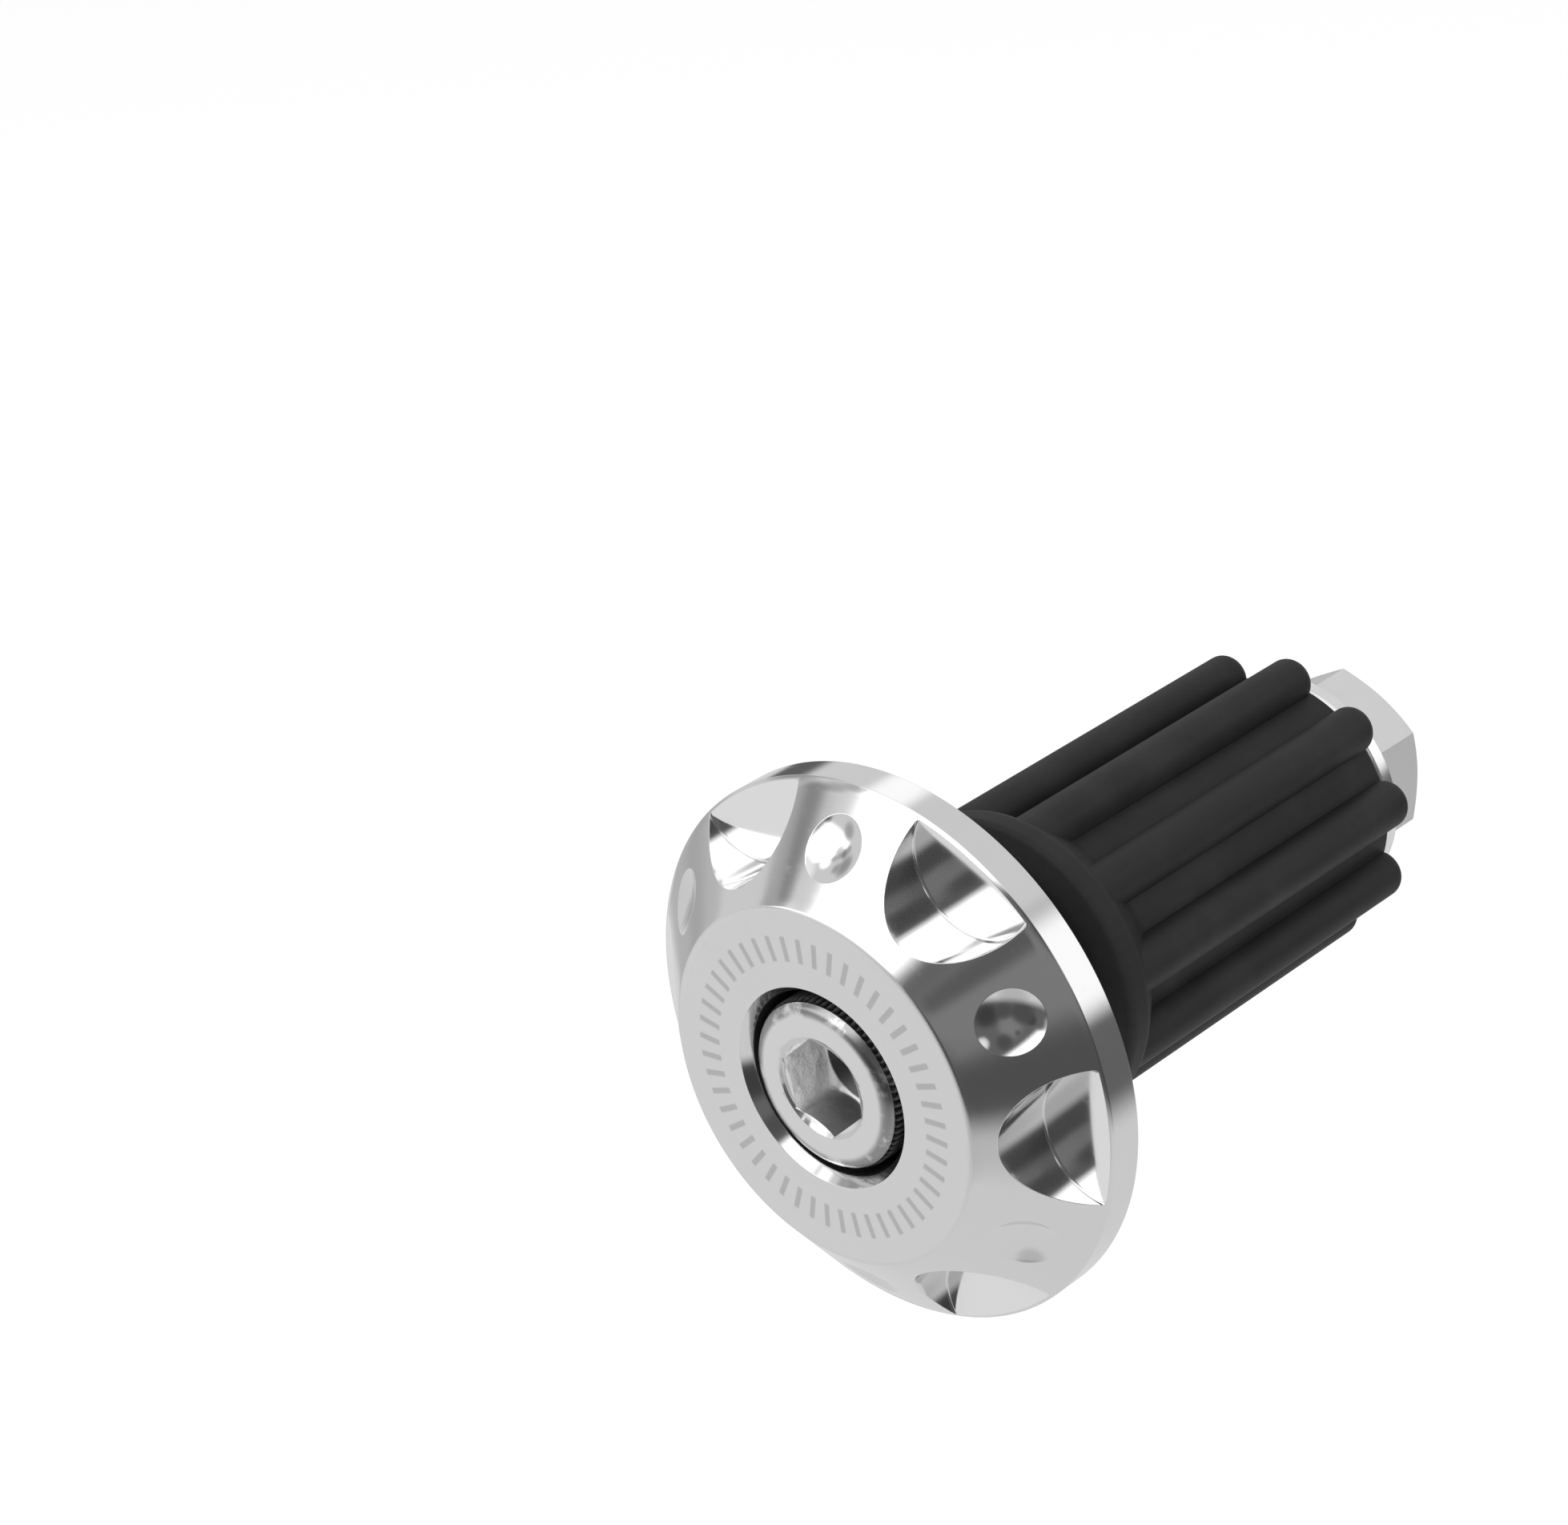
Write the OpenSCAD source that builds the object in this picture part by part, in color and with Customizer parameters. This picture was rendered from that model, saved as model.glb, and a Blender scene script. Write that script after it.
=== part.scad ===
// Bar end weight for a motorbike's handlebar.
// A turned head butts against the end of the tube. Behind it a ribbed rubber sleeve goes into
// the tube, and swells and grips when the socket screw draws the nut and washer forward.
// All pieces share one axis along Y: the head faces -Y and the sleeve points to +Y.
// The origin is on that axis, in the plane of the head's shoulder. Sizes in millimetres.

/* [Head] */
// Outer diameter of the head
rim_d = 32; // [29:0.5:38]
// Width of the straight band at the rim
band_h = 2.2; // [1.5:0.1:3]
// Height of the head from its shoulder to its front face
head_h = 7; // [6.8:0.1:9]
// Diameter of the flat front face, to where its plane meets the flank
face_d = 20.8; // [18:0.2:22]
// Rounding of the edge between front face and flank
face_round = 0.5; // [0.2:0.05:1]
// Bevel on the rim's rear edge
rim_bevel = 0.25; // [0.1:0.05:0.5]
// Diameter of the boss behind the shoulder
boss_d = 14; // [12.5:0.5:16]
// Length of the boss, which sets how far the sleeve sits inside the tube
boss_len = 8; // [5:0.5:12]
// Bevel at the end of the boss
boss_bevel = 0.5; // [0.2:0.1:0.8]
// Width of the bevel at the mouth of the counterbore
cbore_lip_w = 0.43; // [0.2:0.01:0.6]
// Depth of the bevel at the mouth of the counterbore
cbore_lip_h = 0.65; // [0.3:0.05:1]

/* [Scallops and dimples] */
// Number of scallops round the flank, and of dimples between them
scallop_count = 6; // [4:1:7]
// Radius of the scallop cutter
scallop_r = 4.05; // [3:0.05:4.5]
// Rounding of the cutter's corner, between a scallop's wall and its floor
scallop_corner = 0.15; // [0.1:0.05:0.5]
// Distance of the cutter's axis inside the rim
scallop_inset = 0.5; // [0:0.05:1]
// Height of the scallop's floor above the straight band
scallop_step = 0.15; // [0.1:0.05:0.6]
// Angle of the first scallop about the axis
scallop_phase = 6.4; // [0:0.2:59.8]
// Diameter of the dimples, which are sunk into the flank by a ball-nosed cutter
dimple_d = 3.8; // [2:0.1:4.2]
// Diameter of the circle on the flank that the dimples sit on
dimple_circle_d = 26.6; // [25:0.1:27.5]
// Depth of a dimple at its middle
dimple_depth = 0.45; // [0.2:0.05:1]

/* [Sleeve] */
// Outer diameter of the smooth collar that guides the sleeve in the tube
collar_d = 18.4; // [17:0.1:20]
// Length of the collar
collar_len = 1.5; // [1.2:0.1:5]
// Length over which the collar runs out into the grooves
runout_len = 2.8; // [2:0.1:5]
// Bevel at the front of the collar
collar_bevel = 0.3; // [0.1:0.05:0.6]
// Length of the whole sleeve
sleeve_len = 26.7; // [20:0.1:40]
// Diameter of the sleeve at the bottom of its grooves
groove_d = 14.6; // [13.6:0.1:15.6]
// Number of round ribs
rib_count = 10; // [6:1:11]
// Radius of a rib
rib_r = 1.42; // [1.2:0.02:1.6]
// How far the crests of the ribs lie inside the collar's diameter
rib_drop = 0.05; // [0.03:0.01:0.3]
// Rounding at the rear ends of the ribs
rib_end_round = 0.9; // [0.2:0.1:1.1]
// Bevel on the rear edge between the ribs
sleeve_bevel = 0.3; // [0.1:0.05:0.6]

/* [Washer] */
// Outer diameter of the washer
washer_d = 14; // [12:0.5:14.5]
// Thickness of the washer
washer_t = 1.2; // [0.8:0.1:2]
// Bevel on the washer's edges
washer_bevel = 0.15; // [0.05:0.05:0.3]

/* [Nut] */
// Width of the nut across its flats
nut_af = 10; // [9:0.5:11.5]
// Height of the nut
nut_h = 5; // [4:0.1:6.5]
// Diameter of the round face that the nut's chamfer leaves
nut_face_d = 9.6; // [8.8:0.1:9.8]
// Angle of the nut's chamfer
nut_chamfer_angle = 30; // [15:1:35]
// Angle of the nut's first corner about the axis
nut_phase = 35.5; // [0:0.5:59.5]

/* [Screw] */
// Diameter of the screw's shank
screw_d = 6; // [5:0.5:6.5]
// Diameter of the screw's head
screw_head_d = 10; // [9:0.5:11]
// Height of the screw's head
screw_head_h = 6; // [5:0.1:6.2]
// Rounding of the head's front edge
screw_head_round = 0.9; // [0.3:0.05:1.1]
// Width of the hexagon socket across its flats
socket_af = 5; // [4:0.5:5.5]
// Depth of the hexagon socket
socket_depth = 3.2; // [2.5:0.1:3.6]
// Bevel round the mouth of the socket, beyond its corners
socket_lead = 0.1; // [0.05:0.05:0.3]
// Point angle of the drill that the socket is broached after
drill_angle = 118; // [90:1:140]
// Angle of the socket's first corner about the axis
socket_phase = 49; // [0:1:59]
// Length of thread in the nut before the screw is tightened
screw_engaged = 3.1; // [2:0.1:4.5]
// Bevel at the tip of the screw
tip_bevel = 0.8; // [0.4:0.1:1]

/* [Clearances] */
// Gap round the screw's head in the counterbore, per side
cbore_gap = 0.45; // [0.2:0.05:0.8]
// Gap round the shank in the head, per side
head_bore_gap = 0.25; // [0.1:0.05:0.5]
// Gap round the shank in the sleeve, per side
sleeve_bore_gap = 0.3; // [0.1:0.05:0.6]
// Gap round the shank in the washer, per side
washer_bore_gap = 0.2; // [0.1:0.05:0.4]
// Running gap between the shank and the nut, per side
nut_bore_gap = 0.04; // [0.02:0.01:0.08]

/* [Hidden] */
$fn = 96;
over = 0.5;
arc_steps = 8;
rim_r = rim_d / 2;
face_r = face_d / 2;
boss_r = boss_d / 2;
flank_angle = atan2(head_h - band_h, rim_r - face_r);
scallop_floor = band_h + scallop_step;
scallop_h = head_h - scallop_floor + over;
step_angle = 360 / scallop_count;
dimple_r = dimple_d / 2;
dimple_circle_r = dimple_circle_d / 2;
dimple_h = head_h - (dimple_circle_r - face_r) * tan(flank_angle);
dimple_ball_r = (dimple_r * dimple_r + dimple_depth * dimple_depth) / (2 * dimple_depth);
screw_seat = head_h - screw_head_h;
screw_r = screw_d / 2;
screw_head_r = screw_head_d / 2;
cbore_r = screw_head_r + cbore_gap;
socket_r = socket_af / 2 / cos(30);
socket_tip = socket_af / 2 / tan(drill_angle / 2);
collar_r = collar_d / 2;
groove_r = groove_d / 2;
runout_angle = 2 * atan2(collar_r - groove_r, runout_len);
runout_r = runout_len / 2 / sin(runout_angle);
rib_circle_r = collar_r - rib_drop - rib_r;
sleeve_back = boss_len + sleeve_len;
washer_back = sleeve_back + washer_t;
nut_r = nut_af / 2 / cos(30);
nut_chamfer_h = (nut_r - nut_face_d / 2) * tan(nut_chamfer_angle);
nut_lead = 0.4;
screw_tip = washer_back + screw_engaged;

// Points of an arc about a centre, from one angle to another
function arc(centre, r, from, to) = [
    for (i = [0:arc_steps])
        centre + r * [cos(from + (to - from) * i / arc_steps), sin(from + (to - from) * i / arc_steps)]
];

// Lays a piece that is drawn upright along the common axis, its top towards the head's face
module along_axis() {
    rotate([90, 0, 0]) children();
}

// A ring of a rectangular section with bevelled outer edges, standing on z = 0
module bevelled_disc(r, h, low_bevel, high_bevel) {
    rotate_extrude()
        polygon([
            [0, 0],
            [r - low_bevel, 0],
            [r, low_bevel],
            [r, h - high_bevel],
            [r - high_bevel, h],
            [0, h]
        ]);
}

// Turned outline of the head, with its boss and without its holes
module head_blank() {
    edge_centre = [face_r - face_round * tan(flank_angle / 2), head_h - face_round];
    rotate_extrude()
        polygon(concat(
            [
                [0, -boss_len],
                [boss_r - boss_bevel, -boss_len],
                [boss_r, boss_bevel - boss_len],
                [boss_r, 0],
                [rim_r - rim_bevel, 0],
                [rim_r, rim_bevel],
                [rim_r, band_h]
            ],
            arc(edge_centre, face_round, 90 - flank_angle, 90),
            [[0, head_h]]
        ));
}

// End mill with rounded corners that leaves one scallop in the flank
module scallop_cutter() {
    corner_centre = [scallop_r - scallop_corner, scallop_corner];
    translate([rim_r - scallop_inset, 0, scallop_floor])
        rotate_extrude()
            polygon(concat(
                [[0, 0]],
                arc(corner_centre, scallop_corner, 270, 360),
                [[scallop_r, scallop_h], [0, scallop_h]]
            ));
}

// Ball-nosed cutter that leaves one dimple, square to the flank
module dimple_cutter() {
    translate([dimple_circle_r, 0, dimple_h])
        rotate([0, flank_angle, 0])
            translate([0, 0, dimple_ball_r - dimple_depth])
                sphere(r = dimple_ball_r);
}

// Counterbore for the screw's head, its bevelled mouth and the hole for the shank
module screw_hole() {
    translate([0, 0, screw_seat])
        cylinder(r = cbore_r, h = screw_head_h + over);
    translate([0, 0, head_h - cbore_lip_h])
        cylinder(r1 = cbore_r, r2 = cbore_r + 2 * cbore_lip_w, h = 2 * cbore_lip_h);
    translate([0, 0, -boss_len - over])
        cylinder(r = screw_r + head_bore_gap, h = boss_len + screw_seat + 2 * over);
}

module head() {
    color("silver")
    along_axis()
    difference() {
        head_blank();
        screw_hole();
        for (i = [0:scallop_count - 1]) {
            rotate([0, 0, scallop_phase + i * step_angle]) scallop_cutter();
            rotate([0, 0, scallop_phase + (i + 0.5) * step_angle]) dimple_cutter();
        }
    }
}

// Head and shank of the screw, without the socket
module screw_blank() {
    round_centre = [screw_head_r - screw_head_round, head_h - screw_head_round];
    rotate_extrude()
        polygon(concat(
            [
                [0, -screw_tip],
                [screw_r - tip_bevel, -screw_tip],
                [screw_r, tip_bevel - screw_tip],
                [screw_r, screw_seat],
                [screw_head_r, screw_seat]
            ],
            arc(round_centre, screw_head_round, 0, 90),
            [[0, head_h]]
        ));
}

// Hexagon socket with its bevelled mouth and the drill's point below it
module socket() {
    lead_r = socket_r + socket_lead;
    lead_h = lead_r / tan(60);
    translate([0, 0, head_h - socket_depth])
        cylinder(r = socket_r, h = socket_depth + over, $fn = 6);
    translate([0, 0, head_h - socket_depth - socket_tip])
        cylinder(r1 = 0, r2 = socket_af / 2, h = socket_tip);
    translate([0, 0, head_h - lead_h])
        cylinder(r1 = 0, r2 = lead_r, h = lead_h);
}

module screw() {
    color("gainsboro")
    along_axis()
    difference() {
        screw_blank();
        rotate([0, 0, socket_phase]) socket();
    }
}

// Smooth collar that runs out in an S curve into the grooved length
module sleeve_core() {
    collar_end = -boss_len - collar_len;
    runout_end = collar_end - runout_len;
    rotate_extrude()
        polygon(concat(
            [
                [0, -boss_len],
                [0, -sleeve_back],
                [groove_r - sleeve_bevel, -sleeve_back],
                [groove_r, sleeve_bevel - sleeve_back]
            ],
            arc([groove_r + runout_r, runout_end], runout_r, 180, 180 - runout_angle),
            arc([collar_r - runout_r, collar_end], runout_r, -runout_angle, 0),
            [
                [collar_r, -boss_len - collar_bevel],
                [collar_r - collar_bevel, -boss_len]
            ]
        ));
}

// One round rib, rounded at its rear end and buried in the collar at its front
module rib() {
    rib_front = -boss_len - collar_len / 2;
    translate([rib_circle_r, 0, 0])
        rotate_extrude()
            polygon(concat(
                [[0, rib_front], [0, -sleeve_back]],
                arc([rib_r - rib_end_round, rib_end_round - sleeve_back], rib_end_round, 270, 360),
                [[rib_r, rib_front]]
            ));
}

module sleeve() {
    color("dimgray")
    along_axis()
    difference() {
        union() {
            sleeve_core();
            for (i = [0:rib_count - 1])
                rotate([0, 0, 90 + i * 360 / rib_count]) rib();
        }
        translate([0, 0, -sleeve_back - over])
            cylinder(r = screw_r + sleeve_bore_gap, h = sleeve_len + 2 * over);
    }
}

module washer() {
    color("silver")
    along_axis()
    translate([0, 0, -washer_back])
    difference() {
        bevelled_disc(washer_d / 2, washer_t, washer_bevel, washer_bevel);
        translate([0, 0, -over])
            cylinder(r = screw_r + washer_bore_gap, h = washer_t + 2 * over);
    }
}

// Hexagon with the corners of both ends turned off
module nut_blank() {
    intersection() {
        cylinder(r = nut_r, h = nut_h, $fn = 6);
        rotate_extrude()
            polygon([
                [0, 0],
                [nut_face_d / 2, 0],
                [nut_r, nut_chamfer_h],
                [nut_r + over, nut_chamfer_h + over],
                [nut_r + over, nut_h - nut_chamfer_h - over],
                [nut_r, nut_h - nut_chamfer_h],
                [nut_face_d / 2, nut_h],
                [0, nut_h]
            ]);
    }
}

module nut() {
    bore_r = screw_r + nut_bore_gap;
    color("silver")
    along_axis()
    translate([0, 0, -washer_back - nut_h])
    difference() {
        rotate([0, 0, nut_phase]) nut_blank();
        translate([0, 0, -over])
            cylinder(r = bore_r, h = nut_h + 2 * over);
        translate([0, 0, -over])
            cylinder(r1 = bore_r + nut_lead + over, r2 = bore_r, h = nut_lead + over);
        translate([0, 0, nut_h - nut_lead])
            cylinder(r1 = bore_r, r2 = bore_r + nut_lead + over, h = nut_lead + over);
    }
}

head();
screw();
sleeve();
washer();
nut();
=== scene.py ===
# Bar end weight: a polished aluminium head, a ribbed rubber sleeve, and a socket screw,
# washer and nut that draw the sleeve tight inside a handlebar.
# Pieces are modelled upright, with the front face up and the common axis along Z, in
# millimetres as a drawing gives them, and are then laid along the bar.
import math

import bmesh
import bpy
from mathutils import Matrix, Vector


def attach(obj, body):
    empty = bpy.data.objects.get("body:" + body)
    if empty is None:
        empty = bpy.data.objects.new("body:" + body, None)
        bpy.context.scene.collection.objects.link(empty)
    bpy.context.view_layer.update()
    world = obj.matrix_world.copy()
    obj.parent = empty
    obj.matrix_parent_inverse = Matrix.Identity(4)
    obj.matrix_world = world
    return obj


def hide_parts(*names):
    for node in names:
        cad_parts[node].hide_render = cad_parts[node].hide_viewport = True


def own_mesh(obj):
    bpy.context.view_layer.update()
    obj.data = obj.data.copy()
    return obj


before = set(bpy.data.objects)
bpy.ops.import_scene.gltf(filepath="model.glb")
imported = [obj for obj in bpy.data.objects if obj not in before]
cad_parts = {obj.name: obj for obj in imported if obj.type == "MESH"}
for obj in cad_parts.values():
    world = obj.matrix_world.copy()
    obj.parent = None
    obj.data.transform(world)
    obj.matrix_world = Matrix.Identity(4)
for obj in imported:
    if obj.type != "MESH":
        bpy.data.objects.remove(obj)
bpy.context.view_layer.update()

MM = 0.001

# Heights on the axis, from the shoulder that butts on the handlebar, in millimetres
FACE_HEIGHT = 7.0
BAND_WIDTH = 2.2
SCREW_SEAT = 1.0
BOSS_END = -8.0
THREAD_START = -14.0
SLEEVE_END = -34.7
WASHER_END = -35.9
SCREW_TIP = -39.0
NUT_END = -40.9

# Head, in millimetres and degrees
RIM_RADIUS = 16.0
RIM_BEVEL = 0.25
FACE_RADIUS = 10.4
FACE_ROUND = 0.5
FLANK_SLOPE = math.degrees(math.atan2(FACE_HEIGHT - BAND_WIDTH, RIM_RADIUS - FACE_RADIUS))
BOSS_RADIUS = 7.0
BOSS_BEVEL = 0.5
HEAD_BORE_RADIUS = 3.25
COUNTERBORE_RADIUS = 5.45
LIP_WIDTH = 0.43
LIP_DEPTH = 0.65
SCALLOP_COUNT = 6
SCALLOP_RADIUS = 4.05
SCALLOP_CORNER = 0.15
SCALLOP_INSET = 0.5
SCALLOP_STEP = 0.15
SCALLOP_ANGLE = 6.4
DIMPLE_RADIUS = 1.9
DIMPLE_DEPTH = 0.45
DIMPLE_CIRCLE_RADIUS = 13.3
TICK_COUNT = 48

# Screw, in millimetres and degrees
SHANK_RADIUS = 3.0
THREAD_ROOT_RADIUS = 2.43
THREAD_PITCH = 1.0
SCREW_HEAD_RADIUS = 5.0
SCREW_HEAD_ROUND = 0.9
KNURL_FLUTES = 72
KNURL_SQUEEZE = 0.968
SOCKET_FLATS = 5.0
SOCKET_DEPTH = 3.2
SOCKET_MOUTH_RADIUS = 2.987
SOCKET_ANGLE = 49.0

# Sleeve, in millimetres and degrees
SLEEVE_BORE_RADIUS = 3.3
COLLAR_RADIUS = 9.2
COLLAR_STRAIGHT = 1.2
COLLAR_FRONT_ROUND = 0.4
RUNOUT_SLOPE = 35
RUNOUT_UPPER_BEND = 0.8
RUNOUT_LOWER_BEND = 1.2
GROOVE_RADIUS = 7.3
RIB_COUNT = 10
RIB_RADIUS = 1.42
RIB_DROP = 0.05
RIB_END_ROUND = 0.9

# Washer and nut, in millimetres and degrees
WASHER_RADIUS = 7.0
WASHER_ROUND = 0.35
WASHER_BORE_RADIUS = 3.2
NUT_FLATS = 10.0
NUT_FACE_RADIUS = 4.8
NUT_BORE_RADIUS = 3.04
NUT_LEAD = 0.4
NUT_ANGLE = 35.5


# Modelling

def deselect_everything():
    if bpy.context.object and bpy.context.object.mode != "OBJECT":
        bpy.ops.object.mode_set(mode="OBJECT")
    bpy.ops.object.select_all(action="DESELECT")


def pick_up(*pieces):
    deselect_everything()
    for piece in pieces:
        piece.select_set(True)
    bpy.context.view_layer.objects.active = pieces[0]


def name_new_piece(name):
    """Names the piece that was just added, and settles its place and turn into its mesh."""
    piece = bpy.context.object
    piece.name = name
    bpy.ops.object.transform_apply(location=True, rotation=True, scale=True)
    return piece


def start_editing(piece, what="VERT"):
    pick_up(piece)
    bpy.ops.object.mode_set(mode="EDIT")
    bpy.ops.mesh.select_mode(type=what)
    bpy.ops.mesh.select_all(action="DESELECT")


def stop_editing():
    bpy.ops.object.mode_set(mode="OBJECT")


def select_vertices(piece, wanted):
    """Selects the vertices that a test wants, in millimetres."""
    shape = bmesh.from_edit_mesh(piece.data)
    for vertex in shape.verts:
        vertex.select_set(wanted(vertex.co / MM))
    shape.select_flush_mode()
    bmesh.update_edit_mesh(piece.data)


def select_open_edges(piece):
    shape = bmesh.from_edit_mesh(piece.data)
    for edge in shape.edges:
        edge.select_set(len(edge.link_faces) == 1)
    bmesh.update_edit_mesh(piece.data)


def turn_faces_outwards():
    bpy.ops.mesh.select_all(action="SELECT")
    bpy.ops.mesh.normals_make_consistent(inside=False)


def close_end(piece, wanted):
    """Closes the open end whose vertices a test wants with one face."""
    start_editing(piece)
    select_vertices(piece, wanted)
    bpy.ops.mesh.edge_face_add()
    turn_faces_outwards()
    stop_editing()


def close_top(piece, height):
    close_end(piece, lambda v: v.z > height - 0.001)


def rounded_corner(centre_radius, centre_height, round_radius, start, end, steps):
    """Points of an arc in an outline, from one angle to another."""
    points = []
    for i in range(steps + 1):
        angle = math.radians(start + (end - start) * i / steps)
        points.append((centre_radius + round_radius * math.cos(angle),
                       centre_height + round_radius * math.sin(angle)))
    return points


def turn_on_lathe(name, outline, steps, ring=False):
    """A turned piece. The outline's points are (radius, height).

    A ring's last point is joined to its first.
    """
    deselect_everything()
    radius, height = outline[0]
    bpy.ops.mesh.primitive_circle_add(vertices=steps, radius=radius * MM, location=(0, 0, height * MM))
    piece = name_new_piece(name)
    start_editing(piece, "EDGE")
    bpy.ops.mesh.select_all(action="SELECT")
    if not ring:
        bpy.ops.mesh.edge_face_add()
    for new_radius, new_height in outline[1:]:
        bpy.ops.mesh.extrude_region_move(
            TRANSFORM_OT_translate={"value": (0, 0, (new_height - height) * MM)})
        scale = new_radius / radius
        bpy.ops.transform.resize(value=(scale, scale, 1), center_override=(0, 0, 0))
        radius, height = new_radius, new_height
    if ring:
        select_open_edges(piece)
        bpy.ops.mesh.bridge_edge_loops()
    turn_faces_outwards()
    stop_editing()
    return piece


def hexagon_bar(name, across_flats, low, high, corner_angle):
    deselect_everything()
    corner_radius = across_flats / 2 / math.cos(math.radians(30))
    bpy.ops.mesh.primitive_cylinder_add(vertices=6, radius=corner_radius * MM, depth=(high - low) * MM,
                                        location=(0, 0, (low + high) / 2 * MM))
    bar = name_new_piece(name)
    bar.data.transform(Matrix.Rotation(math.radians(corner_angle - 30), 4, "Z"))
    return bar


def cut_thread_ridge(name, buried_radius, crest_radius, buried_width, crest_width, start, turns):
    """One helical thread ridge of trapezium section, right-handed, closed at both ends."""
    deselect_everything()
    middle = (buried_radius + crest_radius) / 2
    bpy.ops.mesh.primitive_plane_add(size=MM, location=(middle * MM, 0, start * MM),
                                     rotation=(math.radians(90), 0, 0))
    ridge = name_new_piece(name)
    for vertex in ridge.data.vertices:
        outer = (vertex.co.x > middle * MM) == (crest_radius > buried_radius)
        upper = 1 if vertex.co.z > start * MM else -1
        vertex.co.x = (crest_radius if outer else buried_radius) * MM
        vertex.co.z = (start + upper * (crest_width if outer else buried_width) / 2) * MM
    start_editing(ridge, "FACE")
    bpy.ops.mesh.select_all(action="SELECT")
    bpy.ops.mesh.delete(type="ONLY_FACE")
    stop_editing()
    pick_up(ridge)
    wind = ridge.modifiers.new("wind", "SCREW")
    wind.axis = "Z"
    wind.screw_offset = THREAD_PITCH * MM
    wind.iterations = turns
    wind.steps = 48
    wind.render_steps = wind.steps
    wind.use_merge_vertices = True
    wind.merge_threshold = 1e-7
    bpy.ops.object.modifier_apply(modifier=wind.name)
    start_editing(ridge, "EDGE")
    select_open_edges(ridge)
    bpy.ops.mesh.edge_face_add()
    turn_faces_outwards()
    stop_editing()
    return ridge


def copies_round_axis(piece, count, first_angle):
    """The piece and its copies, spaced evenly round the axis."""
    ring = []
    for i in range(count):
        copy = piece.copy()
        copy.data = piece.data.copy()
        bpy.context.collection.objects.link(copy)
        copy.data.transform(Matrix.Rotation(math.radians(first_angle + 360 / count * i), 4, "Z"))
        ring.append(copy)
    bpy.data.objects.remove(piece)
    return ring


def join_pieces(pieces):
    pick_up(*pieces)
    bpy.ops.object.join()
    return bpy.context.object


def combine(piece, tool, way):
    """Cuts the tool from the piece, or joins or intersects them, and throws the tool away."""
    pick_up(piece)
    step = piece.modifiers.new("combine", "BOOLEAN")
    step.operation = way
    step.solver = "EXACT"
    step.object = tool
    bpy.ops.object.modifier_apply(modifier=step.name)
    bpy.data.objects.remove(tool)


def finish_piece(piece, smooth_below):
    """Smooths edges that are flatter than an angle, and turns the piece's top to look along -Y."""
    pick_up(piece)
    bpy.ops.object.shade_smooth_by_angle(angle=math.radians(smooth_below))
    step = piece.modifiers.new("even normals", "WEIGHTED_NORMAL")
    step.keep_sharp = True
    bpy.ops.object.modifier_apply(modifier=step.name)
    piece.data.transform(Matrix.Rotation(math.radians(90), 4, "X"))
    return piece


# Shader nodes

class Nodes:
    """A node tree, built up node by node. Values are plain numbers or other nodes' outputs."""

    def __init__(self, tree):
        self.tree = tree

    def add(self, kind, **settings):
        node = self.tree.nodes.new(kind)
        for key, value in settings.items():
            setattr(node, key, value)
        return node

    def feed(self, socket, value):
        if isinstance(value, bpy.types.NodeSocket):
            self.tree.links.new(value, socket)
        else:
            socket.default_value = value

    def calc(self, operation, *values):
        node = self.add("ShaderNodeMath", operation=operation)
        for socket, value in zip(node.inputs, values):
            self.feed(socket, value)
        return node.outputs[0]

    def plus(self, first, second):
        return self.calc("ADD", first, second)

    def times(self, first, second):
        return self.calc("MULTIPLY", first, second)

    def scaled(self, value, factor, offset):
        return self.calc("MULTIPLY_ADD", value, factor, offset)

    def fade(self, value, low, high, to_low=0.0, to_high=1.0):
        """A soft step, from one level where the value is low to another where it is high."""
        node = self.add("ShaderNodeMapRange", interpolation_type="SMOOTHSTEP")
        self.feed(node.inputs["Value"], value)
        for name, number in (("From Min", low), ("From Max", high), ("To Min", to_low), ("To Max", to_high)):
            node.inputs[name].default_value = number
        return node.outputs["Result"]

    def blend(self, amount, first, second):
        """The first number where the amount is 0, and the second where it is 1."""
        node = self.add("ShaderNodeMix", data_type="FLOAT")
        for i, value in ((0, amount), (2, first), (3, second)):
            self.feed(node.inputs[i], value)
        return node.outputs[0]

    def blend_colours(self, amount, first, second):
        """The first colour where the amount is 0, and the second where it is 1."""
        node = self.add("ShaderNodeMix", data_type="RGBA")
        for i, value in ((0, amount), (6, first), (7, second)):
            self.feed(node.inputs[i], value)
        return node.outputs[2]


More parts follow.
